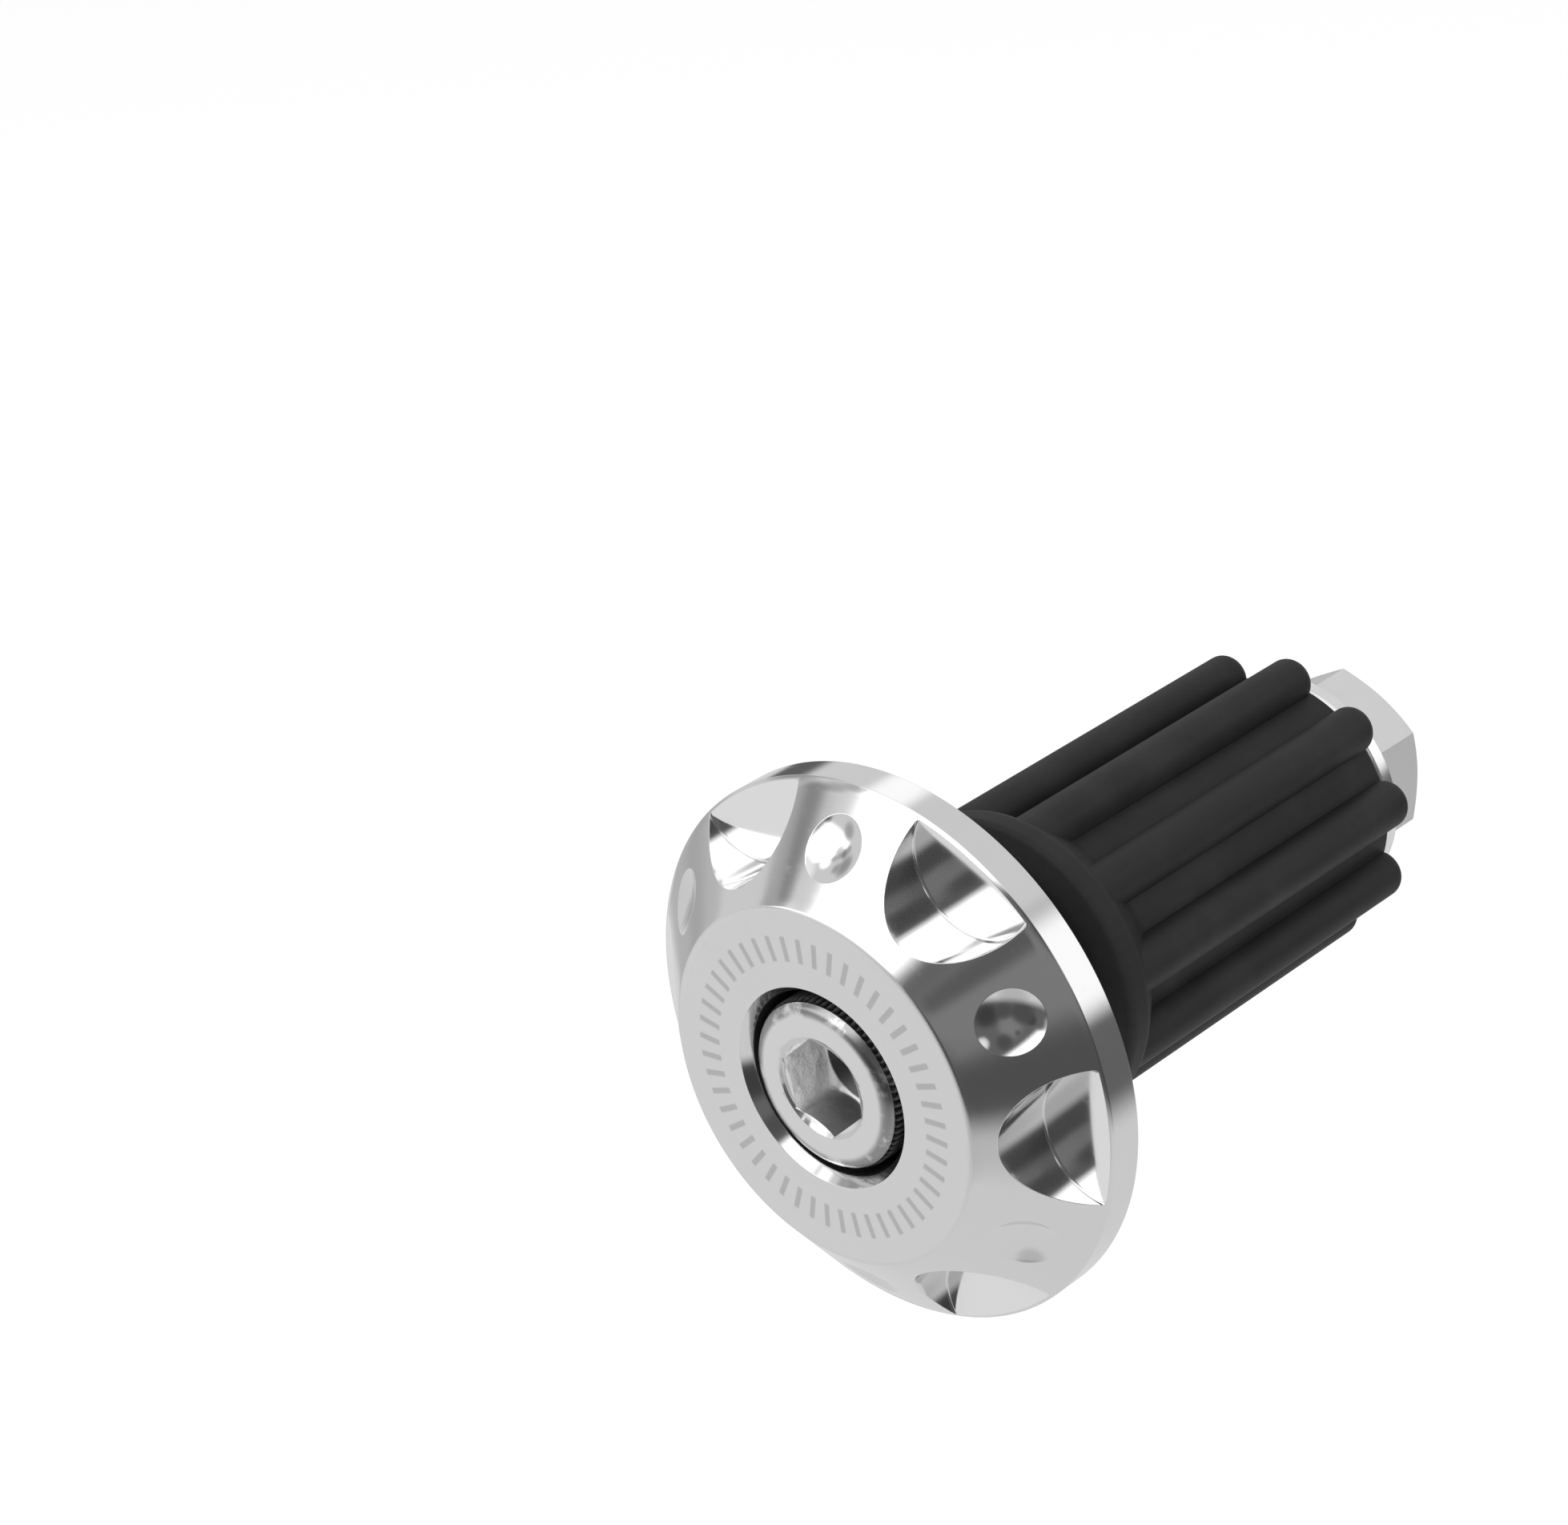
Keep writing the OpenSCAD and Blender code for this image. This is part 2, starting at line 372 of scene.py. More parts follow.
class Recipe(Nodes):
    """A material's nodes."""

    def __init__(self, name):
        self.material = bpy.data.materials.new(name)
        self.material.use_nodes = True
        super().__init__(self.material.node_tree)
        self.surface = self.tree.nodes["Principled BSDF"].inputs
        self.point = self.add("ShaderNodeTexCoord").outputs["Object"]

    def place(self):
        """The surface point's distance along the bar, distance from the axis and angle round it."""
        parts = self.add("ShaderNodeSeparateXYZ")
        self.feed(parts.inputs[0], self.point)
        x, y, z = parts.outputs
        radius = self.calc("SQRT", self.plus(self.times(x, x), self.times(z, z)))
        return y, radius, self.calc("ARCTAN2", z, x)

    def speckle(self, vector, scale, detail=3.0, roughness=0.5):
        node = self.add("ShaderNodeTexNoise")
        self.feed(node.inputs["Vector"], vector)
        node.inputs["Scale"].default_value = scale
        node.inputs["Detail"].default_value = detail
        node.inputs["Roughness"].default_value = roughness
        return node.outputs["Fac"]

    def turned_marks(self, radius, along, scale):
        """Fine rings that a lathe tool leaves."""
        together = self.add("ShaderNodeCombineXYZ")
        self.feed(together.inputs[0], radius)
        self.feed(together.inputs[1], along)
        return self.speckle(together.outputs[0], scale, 2.0)

    def relief(self, height, distance, soft_edge):
        """Bump from a height, over edges that are broken by a small radius."""
        edge = self.add("ShaderNodeBevel", samples=6)
        edge.inputs["Radius"].default_value = soft_edge
        bump = self.add("ShaderNodeBump")
        bump.inputs["Strength"].default_value = 1.0
        bump.inputs["Distance"].default_value = distance
        self.feed(bump.inputs["Height"], height)
        self.feed(bump.inputs["Normal"], edge.outputs[0])
        self.feed(self.surface["Normal"], bump.outputs[0])


def grey(level, blue=0.0):
    """A grey with a little more blue."""
    return level, level, level + blue, 1


# Materials

def polished_aluminium():
    """Bright turned flank and rim, a satin front face with plain tick marks, and a rough bore painted dark as
    painted shade.
    """
    made = Recipe("polished turned aluminium")
    along, radius, angle = made.place()
    outside_bore = made.fade(radius, 5.43 * MM, 5.50 * MM)
    outside_lip = made.fade(radius, 5.84 * MM, 5.94 * MM)
    on_face = made.times(made.fade(along, -6.91 * MM, -6.99 * MM), outside_lip)

    turn_part = made.calc("FRACT", made.scaled(angle, TICK_COUNT / (2 * math.pi), 100.0))
    off_centre = made.calc("ABSOLUTE", made.calc("SUBTRACT", turn_part, 0.5))
    across = made.times(made.times(off_centre, radius), 2 * math.pi / TICK_COUNT)
    tick = made.fade(across, 0.22 * MM, 0.12 * MM)
    tick = made.times(tick, made.fade(radius, 7.32 * MM, 7.44 * MM))
    tick = made.times(tick, made.fade(radius, 8.88 * MM, 8.76 * MM))
    tick = made.times(tick, on_face)

    cloud = made.speckle(made.point, 260.0, 4.0)
    metal = made.blend_colours(cloud, grey(0.78, 0.005), grey(0.82))
    metal = made.blend_colours(on_face, metal, grey(0.85, 0.002))
    metal = made.blend_colours(tick, metal, grey(0.65, 0.005))
    # Painted shade: the counterbore and bore are painted dark, for the shade deep inside them.
    metal = made.blend_colours(outside_bore, grey(0.16, 0.005), metal)
    made.feed(made.surface["Base Color"], metal)
    made.feed(made.surface["Metallic"], 1.0)

    scuffs = made.fade(made.speckle(made.point, 1500.0, 6.0, 0.7), 0.55, 0.75)
    fine = made.speckle(made.point, 14000.0, 2.0)
    roughness = made.plus(made.scaled(cloud, 0.05, 0.07), made.times(scuffs, 0.08))
    roughness = made.plus(roughness, made.times(on_face, made.scaled(fine, 0.12, 0.28)))
    roughness = made.plus(roughness, made.times(tick, 0.06))
    roughness = made.plus(roughness, made.scaled(outside_bore, -0.4, 0.4))
    made.feed(made.surface["Roughness"], roughness)

    rings = made.turned_marks(radius, along, 9000.0)
    height = made.times(rings, made.scaled(on_face, 0.7, 0.20))
    height = made.plus(height, made.times(made.times(fine, on_face), 0.6))
    height = made.calc("SUBTRACT", height, made.times(tick, 3.0))
    made.relief(height, 0.002 * MM, 0.06 * MM)
    return made.material


def plated_steel(name, shade, gloss, mottle, is_screw=False):
    """Zinc-plated steel with a slightly cloudy skin and fine marks of the tool."""
    made = Recipe(name)
    along, radius, angle = made.place()
    cloud = made.speckle(made.point, 700.0, 5.0, 0.6)
    red, green, blue, opaque = shade
    clean = 1 - mottle
    metal = made.blend_colours(cloud, (red * clean, green * clean, blue * clean, opaque), shade)
    roughness = made.scaled(cloud, 0.12, gloss)
    height = made.plus(made.times(made.turned_marks(radius, along, 6000.0), 0.7), cloud)
    shine = 1.0
    # For the screw, painted shade, painted light and a painted highlight go onto the head's rounding and
    # socket.
    if is_screw:
        metal, roughness, rough_wall = roughen_and_shade_screw_head(made, along, radius, angle, cloud, metal, roughness)
        torn = made.times(made.speckle(made.point, 1300.0, 3.0), 130.0)
        height = made.plus(height, made.times(torn, rough_wall))
        shine = made.scaled(rough_wall, -0.6, 1.0)
    made.feed(made.surface["Base Color"], metal)
    made.feed(made.surface["Metallic"], shine)
    made.feed(made.surface["Roughness"], roughness)
    made.relief(height, 0.002 * MM, 0.05 * MM)
    return made.material


def roughen_and_shade_screw_head(made, along, radius, angle, cloud, metal, roughness):
    """Paints blotchy shade on the head's rounding, dulls its knurled side, and roughens the socket, with
    painted shade on its floor, painted light on its left walls and a painted highlight round its bottom edge.

    Gives the new colour and roughness, and how far a point lies on the socket's torn left walls, which are
    rougher and bumpier and painted lighter as painted light.
    """
    in_head = made.fade(along, 0.9 * MM, 0.5 * MM)
    rounding = made.times(in_head, made.fade(radius, 4.05 * MM, 4.45 * MM))
    # Painted shade: the rounding is painted dark in blotches, for the shade and dark reflections it gets
    # beside the counterbore wall.
    shaded_rounding = made.blend_colours(made.fade(cloud, 0.50, 0.66), grey(0.34, 0.005), grey(0.84))
    metal = made.blend_colours(rounding, metal, shaded_rounding)
    side = made.times(in_head, made.fade(radius, 4.84 * MM, 4.96 * MM))
    metal = made.blend_colours(side, metal, grey(0.60, 0.005))

    in_socket = made.times(in_head, made.fade(radius, 3.0 * MM, 2.9 * MM))
    in_socket = made.times(in_socket, made.fade(along, -6.90 * MM, -6.80 * MM))
    on_wall = made.fade(radius, 2.35 * MM, 2.45 * MM)
    leftward = made.calc("COSINE", made.calc("SUBTRACT", angle, 3.0))
    left_wall = made.times(made.fade(leftward, 0.35, 0.65), on_wall)
    # Painted light: the socket's left walls are painted a little lighter than its other walls.
    wall = made.blend_colours(left_wall, grey(0.92), grey(0.97))
    grime = made.fade(cloud, 0.42, 0.58, 0.0, 0.30)
    wall = made.blend_colours(grime, wall, grey(0.45, 0.005))
    # Painted shade: the socket's floor, deep down the hole, is painted nearly black.
    floor = made.fade(along, -3.86 * MM, -3.82 * MM)
    wall = made.blend_colours(floor, wall, grey(0.12))
    # Painted highlight: a bright line round the foot of the walls and the ledge beside the floor.
    corner_highlight = made.times(made.fade(along, -4.02 * MM, -3.96 * MM), on_wall)
    wall = made.blend_colours(corner_highlight, wall, grey(0.97))
    metal = made.blend_colours(in_socket, metal, wall)

    rough_wall = made.times(in_socket, left_wall)
    roughness = made.plus(roughness, made.times(in_socket, 0.15))
    roughness = made.plus(roughness, made.times(rough_wall, 0.2))
    roughness = made.plus(roughness, made.times(side, 0.3))
    return metal, roughness, rough_wall


def moulded_rubber():
    """Matt black rubber with a faint skin texture, pale bloom and streaks along the ribs."""
    made = Recipe("moulded black rubber")
    stretch = made.add("ShaderNodeMapping")
    stretch.inputs["Scale"].default_value = (1.0, 0.08, 1.0)
    made.feed(stretch.inputs["Vector"], made.point)
    streak = made.speckle(stretch.outputs[0], 1400.0, 4.0, 0.65)
    skin = made.speckle(made.point, 6000.0, 3.0, 0.6)
    bloom = made.fade(made.speckle(made.point, 220.0, 4.0), 0.45, 0.70, 0.0, 0.55)
    shade = made.blend_colours(streak, grey(0.015, 0.001), grey(0.026, 0.001))
    shade = made.blend_colours(bloom, shade, grey(0.032, 0.001))
    made.feed(made.surface["Base Color"], shade)
    made.feed(made.surface["Specular IOR Level"], 0.28)
    made.feed(made.surface["Roughness"], made.scaled(skin, 0.12, 0.52))
    made.relief(made.plus(made.times(skin, 0.6), streak), 0.006 * MM, 0.10 * MM)
    return made.material


# Head

def scallop_cutters():
    """Six end mills with rounded corners, plunged along the axis beside the rim."""
    floor, top = BAND_WIDTH + SCALLOP_STEP, FACE_HEIGHT + 0.5
    corner = rounded_corner(SCALLOP_RADIUS - SCALLOP_CORNER, floor + SCALLOP_CORNER,
                            SCALLOP_CORNER, -90, 0, 8)
    cutter = turn_on_lathe("scallop_cutter", [(1.8, floor), *corner, (SCALLOP_RADIUS, top)], 240)
    close_top(cutter, top)
    cutter.data.transform(Matrix.Translation(((RIM_RADIUS - SCALLOP_INSET) * MM, 0, 0)))
    return copies_round_axis(cutter, SCALLOP_COUNT, SCALLOP_ANGLE)


def dimple_cutters():
    """Six ball-nosed cutters, sunk square into the flank midway between the scallops."""
    ball = (DIMPLE_RADIUS ** 2 + DIMPLE_DEPTH ** 2) / (2 * DIMPLE_DEPTH)
    slope = math.radians(FLANK_SLOPE)
    height = FACE_HEIGHT - (DIMPLE_CIRCLE_RADIUS - FACE_RADIUS) * math.tan(slope)
    deselect_everything()
    bpy.ops.mesh.primitive_uv_sphere_add(segments=128, ring_count=96, radius=ball * MM,
                                         location=(0, 0, (ball - DIMPLE_DEPTH) * MM))
    cutter = name_new_piece("dimple_cutter")
    cutter.data.transform(Matrix.Rotation(slope, 4, "Y"))
    cutter.data.transform(Matrix.Translation(Vector((DIMPLE_CIRCLE_RADIUS, 0, height)) * MM))
    return copies_round_axis(cutter, SCALLOP_COUNT, SCALLOP_ANGLE + 180 / SCALLOP_COUNT)


def make_head():
    """The turned head. Extra rings beside its edges keep the shading of the faces even."""
    tangent = FACE_ROUND * math.tan(math.radians(FLANK_SLOPE / 2))
    corner = rounded_corner(FACE_RADIUS - tangent, FACE_HEIGHT - FACE_ROUND, FACE_ROUND,
                            90, 90 - FLANK_SLOPE, 8)
    flank = []
    for i in range(1, 10):
        share = i / 10
        flank.append((FACE_RADIUS + (RIM_RADIUS - FACE_RADIUS) * share,
                      FACE_HEIGHT - (FACE_HEIGHT - BAND_WIDTH) * share))
    bore_mouth = HEAD_BORE_RADIUS + 0.2
    outline = [
        (HEAD_BORE_RADIUS, BOSS_END + 0.2), (HEAD_BORE_RADIUS, SCREW_SEAT - 0.2), (bore_mouth, SCREW_SEAT),
        (COUNTERBORE_RADIUS - 0.15, SCREW_SEAT), (COUNTERBORE_RADIUS, SCREW_SEAT + 0.15),
        (COUNTERBORE_RADIUS, FACE_HEIGHT - LIP_DEPTH - 0.2), (COUNTERBORE_RADIUS, FACE_HEIGHT - LIP_DEPTH),
        (COUNTERBORE_RADIUS + LIP_WIDTH, FACE_HEIGHT),
        (6.1, FACE_HEIGHT), (9.6, FACE_HEIGHT), (10.1, FACE_HEIGHT),
        *corner, *flank,
        (RIM_RADIUS - 0.06, BAND_WIDTH + 0.06), (RIM_RADIUS, BAND_WIDTH - 0.02),
        (RIM_RADIUS, BAND_WIDTH - 0.2), (RIM_RADIUS, RIM_BEVEL + 0.2),
        (RIM_RADIUS, RIM_BEVEL), (RIM_RADIUS - RIM_BEVEL, 0), (RIM_RADIUS - 0.6, 0),
        (BOSS_RADIUS + 0.4, 0), (BOSS_RADIUS, 0), (BOSS_RADIUS, -0.4),
        (BOSS_RADIUS, BOSS_END + 0.8), (BOSS_RADIUS, BOSS_END + BOSS_BEVEL),
        (BOSS_RADIUS - BOSS_BEVEL, BOSS_END), (BOSS_RADIUS - 0.9, BOSS_END), (bore_mouth, BOSS_END),
    ]
    head = turn_on_lathe("head_turned", outline, 360, ring=True)
    combine(head, join_pieces(scallop_cutters() + dimple_cutters()), "DIFFERENCE")
    return finish_piece(head, 22)


# Screw

def knurl_head(screw):
    """Pushes every second line of the head's side inwards."""

    def in_a_flute(v):
        line = round(math.degrees(math.atan2(v.y, v.x)) * KNURL_FLUTES / 180)
        on_side = SCREW_SEAT + 0.5 < v.z < FACE_HEIGHT - 0.54 and v.xy.length > SCREW_HEAD_RADIUS - 0.15
        return on_side and line % 2 == 1

    start_editing(screw)
    select_vertices(screw, in_a_flute)
    bpy.ops.transform.resize(value=(KNURL_SQUEEZE, KNURL_SQUEEZE, 1), center_override=(0, 0, 0))
    stop_editing()


def cut_socket(screw):
    """Broaches the hexagon, breaks its mouth at 30 degrees and leaves the drill's point at its floor."""
    floor = FACE_HEIGHT - SOCKET_DEPTH
    broach = hexagon_bar("socket_broach", SOCKET_FLATS, floor, FACE_HEIGHT + 1, SOCKET_ANGLE)
    combine(screw, broach, "DIFFERENCE")
    mouth_top = FACE_HEIGHT + 0.585
    mouth = turn_on_lathe("socket_mouth", [
        (0.6, FACE_HEIGHT - 1.38), (SOCKET_MOUTH_RADIUS, FACE_HEIGHT), (4.0, mouth_top)], 96)
    close_top(mouth, mouth_top)
    combine(screw, mouth, "DIFFERENCE")
    point = turn_on_lathe("drill_point", [(0.05, floor - 1.5), (2.45, floor - 0.02), (2.45, floor + 0.1)], 96)
    close_top(point, floor + 0.1)
    combine(screw, point, "DIFFERENCE")


def fit_ridge_to_tip(ridge):
    """Turns the thread's crest down over the bevelled tip."""
    lowest = SCREW_TIP + 0.02
    for vertex in ridge.data.vertices:
        vertex.co.z = max(vertex.co.z, lowest * MM)
        radius = vertex.co.xy.length / MM
        allowed = 2.2 + vertex.co.z / MM - SCREW_TIP
        if radius > allowed:
            vertex.co.x *= allowed / radius
            vertex.co.y *= allowed / radius


def make_screw():
    edge = rounded_corner(SCREW_HEAD_RADIUS - SCREW_HEAD_ROUND, FACE_HEIGHT - SCREW_HEAD_ROUND,
                          SCREW_HEAD_ROUND, 0, 90, 8)
    tip_bevel = 0.53
    outline = [
        (THREAD_ROOT_RADIUS - tip_bevel, SCREW_TIP), (THREAD_ROOT_RADIUS, SCREW_TIP + tip_bevel),
        (THREAD_ROOT_RADIUS, THREAD_START - 0.6), (SHANK_RADIUS - 0.05, THREAD_START - 0.1),
        (SHANK_RADIUS, THREAD_START), (SHANK_RADIUS, SCREW_SEAT - 0.4),
        (SHANK_RADIUS + 0.05, SCREW_SEAT - 0.15), (SHANK_RADIUS + 0.25, SCREW_SEAT),
        (SCREW_HEAD_RADIUS - 0.25, SCREW_SEAT), (SCREW_HEAD_RADIUS, SCREW_SEAT + 0.2),
        (SCREW_HEAD_RADIUS, SCREW_SEAT + 0.4), (SCREW_HEAD_RADIUS, SCREW_SEAT + 0.8),
        (SCREW_HEAD_RADIUS, SCREW_SEAT + 3.0), (SCREW_HEAD_RADIUS, FACE_HEIGHT - 1.15),
        *edge, (3.95, FACE_HEIGHT), (3.3, FACE_HEIGHT),
    ]
    screw = turn_on_lathe("socket_screw", outline, 2 * KNURL_FLUTES)
    close_end(screw, lambda v: v.z > FACE_HEIGHT - 0.01 and v.xy.length < 3.31)
    knurl_head(screw)
    cut_socket(screw)
    ridge = cut_thread_ridge("screw_ridge", buried_radius=2.38, crest_radius=2.97,
                             buried_width=0.81, crest_width=0.125, start=SCREW_TIP - 0.6, turns=25)
    fit_ridge_to_tip(ridge)
    return finish_piece(join_pieces([screw, ridge]), 24)


# Sleeve

def make_ribs():
    """Round bars that start inside the collar and are rounded at the rear."""
    end = SLEEVE_END + 0.01
    outline = [
        (RIB_RADIUS, BOSS_END - 0.75), (RIB_RADIUS, -14), (RIB_RADIUS, -24),
        (RIB_RADIUS, end + RIB_END_ROUND + 0.3),
        *rounded_corner(RIB_RADIUS - RIB_END_ROUND, end + RIB_END_ROUND, RIB_END_ROUND, 0, -90, 9),
        (0.3, end),
    ]
    rib = turn_on_lathe("rib", outline, 72)
    close_end(rib, lambda v: v.z < end + 0.001 and v.xy.length < 0.31)
    rib.data.transform(Matrix.Translation(((COLLAR_RADIUS - RIB_DROP - RIB_RADIUS) * MM, 0, 0)))
    return join_pieces(copies_round_axis(rib, RIB_COUNT, 90))


def make_sleeve():
    """A core whose collar runs out in an S curve to the bottom of the grooves, with ribs round it."""
    bends = RUNOUT_UPPER_BEND + RUNOUT_LOWER_BEND
    slope = math.radians(RUNOUT_SLOPE)
    straight_drop = COLLAR_RADIUS - GROOVE_RADIUS - bends * (1 - math.cos(slope))
    collar_end = BOSS_END - COLLAR_STRAIGHT
    runout_end = collar_end - bends * math.sin(slope) - straight_drop / math.tan(slope)
    front = rounded_corner(COLLAR_RADIUS - COLLAR_FRONT_ROUND, BOSS_END - COLLAR_FRONT_ROUND,
                           COLLAR_FRONT_ROUND, 90, 0, 6)
    upper = rounded_corner(COLLAR_RADIUS - RUNOUT_UPPER_BEND, collar_end, RUNOUT_UPPER_BEND,
                           0, -RUNOUT_SLOPE, 8)
    lower = rounded_corner(GROOVE_RADIUS + RUNOUT_LOWER_BEND, runout_end, RUNOUT_LOWER_BEND,
                           180 - RUNOUT_SLOPE, 180, 8)
    outline = [
        (SLEEVE_BORE_RADIUS, BOSS_END), (8.6, BOSS_END), *front,
        (COLLAR_RADIUS, BOSS_END - 0.6), (COLLAR_RADIUS, collar_end + 0.1), *upper, *lower,
        (GROOVE_RADIUS, runout_end - 0.4), (GROOVE_RADIUS, SLEEVE_END + 0.5),
        (GROOVE_RADIUS, SLEEVE_END + 0.3), (GROOVE_RADIUS - 0.3, SLEEVE_END),
        (GROOVE_RADIUS - 0.6, SLEEVE_END), (SLEEVE_BORE_RADIUS, SLEEVE_END),
    ]
    made = turn_on_lathe("rubber_sleeve", outline, 240, ring=True)
    combine(made, make_ribs(), "UNION")
    return finish_piece(made, 26)


# Washer and nut

def make_washer():
    outline = [
        (WASHER_BORE_RADIUS, SLEEVE_END - 0.1), (WASHER_BORE_RADIUS + 0.1, SLEEVE_END), (6.4, SLEEVE_END),
        *rounded_corner(WASHER_RADIUS - WASHER_ROUND, SLEEVE_END - WASHER_ROUND, WASHER_ROUND, 90, 0, 6),
        (WASHER_RADIUS, WASHER_END + 0.12), (WASHER_RADIUS - 0.12, WASHER_END), (6.5, WASHER_END),
        (WASHER_BORE_RADIUS + 0.15, WASHER_END), (WASHER_BORE_RADIUS, WASHER_END + 0.1),
    ]
    return finish_piece(turn_on_lathe("washer_punched", outline, 180, ring=True), 24)


def make_nut():
    """A hexagon with both faces chamfered at 30 degrees, and a threaded bore."""
    nut = hexagon_bar("hexagon_nut", NUT_FLATS, NUT_END, WASHER_END, NUT_ANGLE)
    past_corner = NUT_FLATS / 2 / math.cos(math.radians(30)) + 0.5
    drop = (past_corner - NUT_FACE_RADIUS) * math.tan(math.radians(30))
    chamfer = turn_on_lathe("nut_chamfer", [
        (NUT_FACE_RADIUS, NUT_END), (past_corner, NUT_END + drop),
        (past_corner, WASHER_END - drop), (NUT_FACE_RADIUS, WASHER_END)], 192)
    close_top(chamfer, WASHER_END)
    combine(nut, chamfer, "INTERSECT")
    mouth = NUT_BORE_RADIUS + NUT_LEAD
    bore = turn_on_lathe("nut_bore", [
        (mouth, NUT_END - 0.5), (mouth, NUT_END),
        (NUT_BORE_RADIUS, NUT_END + NUT_LEAD), (NUT_BORE_RADIUS, WASHER_END - NUT_LEAD),
        (mouth, WASHER_END), (mouth, WASHER_END + 0.5)], 144)
    close_top(bore, WASHER_END + 0.5)
    combine(nut, bore, "DIFFERENCE")
    ridge = cut_thread_ridge("nut_ridge", buried_radius=3.09, crest_radius=2.55,
                             buried_width=0.92, crest_width=0.30, start=NUT_END + 0.8, turns=4)
    return finish_piece(join_pieces([nut, ridge]), 24)


# The object

def dress(piece, body, slot, material, *nodes):
    """Gives a piece its finish and its place in the frame."""
    piece.data.materials.clear()
    piece.data.materials.append(material)
    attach(piece, body)
    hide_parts(*nodes)


dress(make_head(), "weight", "aluminium", polished_aluminium(), "head")
screw_finish = plated_steel("plated screw steel", grey(0.80, 0.005), 0.20, 0.10, is_screw=True)
dress(make_screw(), "screw", "screw_steel", screw_finish, "screw")
sleeve = make_sleeve()
dress(sleeve, "weight", "rubber", moulded_rubber(), "sleeve")
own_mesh(sleeve)
washer_finish = plated_steel("bright washer steel", grey(0.92), 0.16, 0.05)
dress(make_washer(), "nut", "washer_steel", washer_finish, "washer")
nut_finish = plated_steel("dull nut steel", grey(0.90, 0.005), 0.36, 0.08)
dress(make_nut(), "nut", "nut_steel", nut_finish, "nut")


# Floor, light and camera

# The room that the metal mirrors has a wide soft box in front and above, a dark wall to the
# right of it, and smaller things. Patches are compass angle, height, radius and softness in
# degrees, and brightness. The compass is 0 along the bar, 90 at its right and 180 at the
# face's side. The camera sees white, and matt surfaces are lit by an even level.
ROOM_LEVEL = 0.71
CEILING_LEVEL = 1.0
SOFT_BOX_LEVEL = 2.0
DARK_WALL_LEVEL = 0.14
EVEN_LEVEL = 0.52
SEEN_LEVEL = 1.0
SOFT_BOX_SIDE = (0.455, -0.875, -0.163)
DARK_WALL_SIDE = (0.876, -0.186, -0.445)
ROOM_PATCHES = (
    (-124, 27, 6, 5.0, 0.75),
    (-122, 48, 6, 4.0, 1.50),
    (-172, 5, 6, 4.0, 0.12),
    (-121, 35, 3, 2.5, 0.48),
    (-119, 28, 3, 2.5, 0.46),
    (-116, 21, 4, 3.0, 0.26),
    (-115, 14, 3, 3.0, 0.42),
    (-98, 20, 8, 6.0, 0.34),
    (-102, 32, 4, 4.0, 0.40),
    (-131, 3, 7, 5.0, 0.42),
    (-88, -12, 6, 5.0, 0.54),
    (-79, -20, 7, 5.0, 0.44),
    (-71, -27, 6, 4.0, 0.50),
    (-50, -7, 8, 3.5, 0.12),
    (-137, -31, 10, 6.0, 0.86),
    (-42, 33, 7, 3.0, 1.20),
    (150, -26, 14, 8.0, 0.55),
)
DARK_WALL_PATCHES = (
    (148, 19, 14, 8.0, 0.23),
    (140, 41, 9, 6.0, 0.085),
    (115, 2, 14, 8.0, 0.055),
    (175, 4, 6, 4.0, 0.055),
    (160, 26, 3, 2.5, 0.11),
    (163, -3, 14, 7.0, 0.085),
    (138, -3, 10, 6.0, 0.090),
)
LIT_STRIPS = (
    (43, 26, 15, 5.0, 1.20),
    (101, 38, 7, 4.0, 0.90),
)


def towards(compass, height):
    """A direction from a compass angle and a height above the horizon."""
    across, up = math.radians(compass), math.radians(height)
    return math.sin(across) * math.cos(up), math.cos(across) * math.cos(up), math.sin(up)


class Studio(Nodes):
    """The world's nodes."""

    def __init__(self):
        world = bpy.data.worlds.new("studio")
        bpy.context.scene.world = world
        world.use_nodes = True
        super().__init__(world.node_tree)
        self.tree.nodes.clear()
        self.direction = self.add("ShaderNodeTexCoord").outputs["Generated"]

    def facing(self, side, low, high):
        """A soft step across the room, by the cosine between the view direction and a side."""
        cosine = self.add("ShaderNodeVectorMath", operation="DOT_PRODUCT")
        self.feed(cosine.inputs[0], self.direction)
        self.feed(cosine.inputs[1], side)
        return self.fade(cosine.outputs["Value"], low, high)

    def above(self, height, soft):
        low = math.sin(math.radians(height - soft))
        high = math.sin(math.radians(height + soft))
        return self.facing((0, 0, 1), low, high)

    def lay_patches(self, level, patches):
        """Lays round patches over a level, one after the other."""
        for compass, height, radius, soft, brightness in patches:
            low = math.cos(math.radians(radius + soft))
            high = math.cos(math.radians(max(radius - soft, 0)))
            level = self.blend(self.facing(towards(compass, height), low, high), level, brightness)
        return level

    def mirrored_room(self):
        soft_box = self.times(self.facing(SOFT_BOX_SIDE, -0.04, 0.05), self.above(12, 6))
        room = self.blend(soft_box, ROOM_LEVEL, SOFT_BOX_LEVEL)
        room = self.blend(self.above(62, 6), room, CEILING_LEVEL)
        room = self.lay_patches(room, ROOM_PATCHES)
        on_dark_wall = self.times(self.facing(DARK_WALL_SIDE, -0.16, 0.04), self.above(-19, 7))
        room = self.blend(on_dark_wall, room, self.lay_patches(DARK_WALL_LEVEL, DARK_WALL_PATCHES))
        return self.lay_patches(room, LIT_STRIPS)


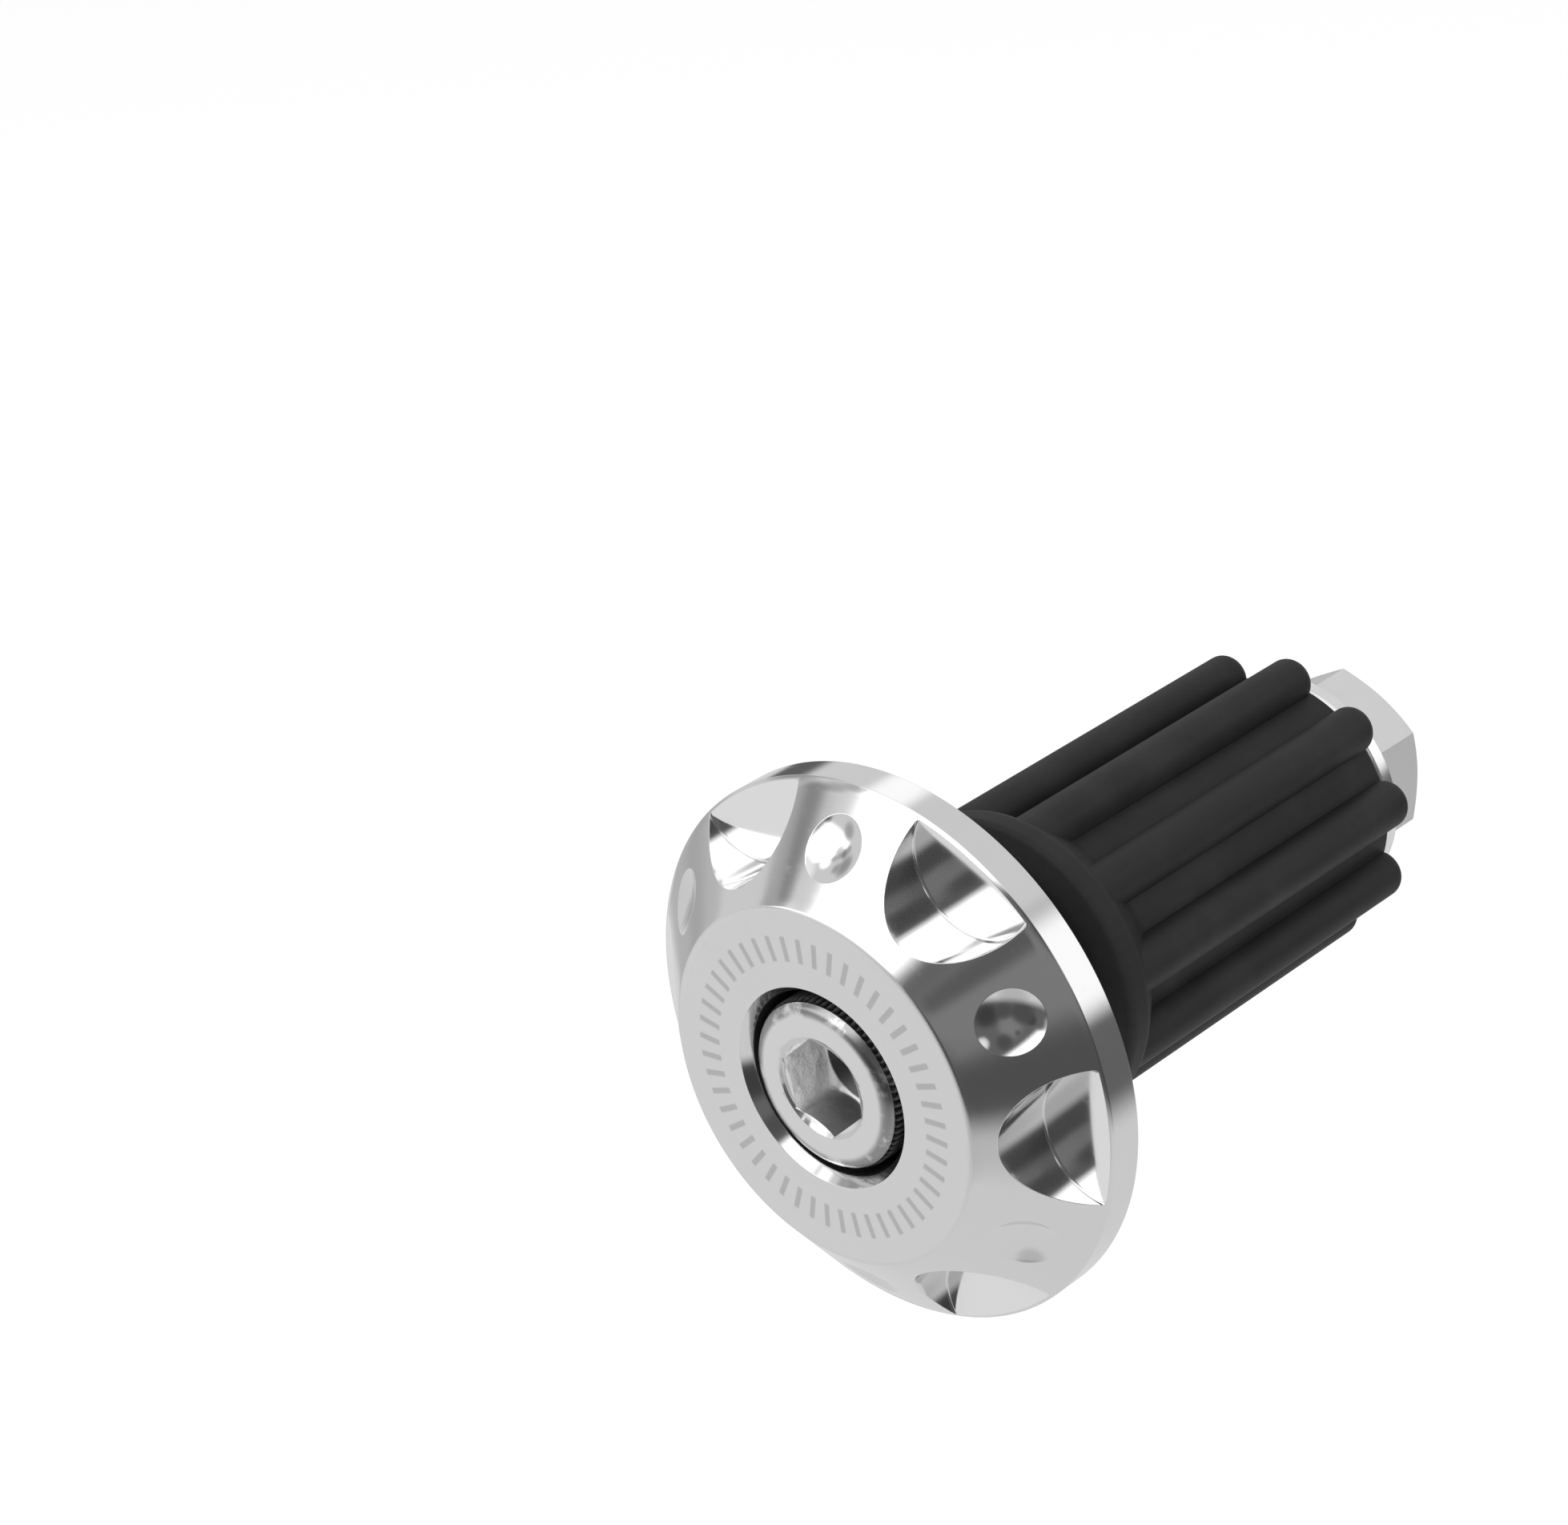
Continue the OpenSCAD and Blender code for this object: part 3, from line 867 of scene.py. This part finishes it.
def light_the_room():
    """White for the camera, an even level for matt surfaces and the mirrored room in the gloss."""
    made = Studio()
    rays = made.add("ShaderNodeLightPath").outputs
    glossy = made.calc("MAXIMUM", rays["Is Glossy Ray"], rays["Is Transmission Ray"])
    level = made.blend(glossy, EVEN_LEVEL, made.mirrored_room())
    level = made.blend(rays["Is Camera Ray"], level, SEEN_LEVEL)
    background = made.add("ShaderNodeBackground")
    background.inputs["Color"].default_value = (1, 1, 1, 1)
    made.feed(background.inputs["Strength"], level)
    made.feed(made.add("ShaderNodeOutputWorld").inputs[0], background.outputs[0])


def lay_pale_floor():
    """A matt floor that keeps the object's shadow, and is nearly white to the camera."""
    deselect_everything()
    bpy.ops.mesh.primitive_plane_add(size=6, location=(0, 0, -0.09))
    floor = bpy.context.object
    floor.name = "floor"
    made = Recipe("pale floor")
    made.feed(made.surface["Base Color"], grey(0.80))
    made.feed(made.surface["Roughness"], 0.9)
    made.feed(made.surface["Specular IOR Level"], 0.0)
    rays = made.add("ShaderNodeLightPath").outputs
    seen = made.calc("MAXIMUM", rays["Is Camera Ray"], rays["Is Glossy Ray"])
    seen = made.calc("MAXIMUM", seen, rays["Is Transmission Ray"])
    made.feed(made.surface["Emission Color"], grey(1.0))
    made.feed(made.surface["Emission Strength"], made.times(seen, 0.50))
    floor.data.materials.append(made.material)
    floor.visible_glossy = False


def hang_soft_lamp():
    """A square lamp at the right, turned to the object and not mirrored by it."""
    light = bpy.data.lights.new("right soft light", "AREA")
    light.shape = "SQUARE"
    light.size = 0.8
    light.energy = 3.0
    lamp = bpy.data.objects.new("right soft light", light)
    bpy.context.collection.objects.link(lamp)
    lamp.location = (0.50, -0.30, 0.36)
    lamp.rotation_mode = "QUATERNION"
    lamp.rotation_quaternion = lamp.location.to_track_quat("Z", "Y")
    lamp.visible_glossy = False


def place_camera():
    """The camera that was fitted to the photograph."""
    camera_data = bpy.data.cameras.new("camera")
    camera_data.sensor_width = 36.0
    camera_data.lens = 92.15
    camera_data.clip_start = 0.01
    camera_data.clip_end = 20.0
    camera = bpy.data.objects.new("camera", camera_data)
    bpy.context.collection.objects.link(camera)
    camera.location = (0.11621, -0.13698, 0.12302)
    camera.rotation_euler = (math.radians(59.438), 0, math.radians(42.439))
    bpy.context.scene.camera = camera


lay_pale_floor()
light_the_room()
hang_soft_lamp()
place_camera()
bpy.context.scene.view_settings.view_transform = "Standard"
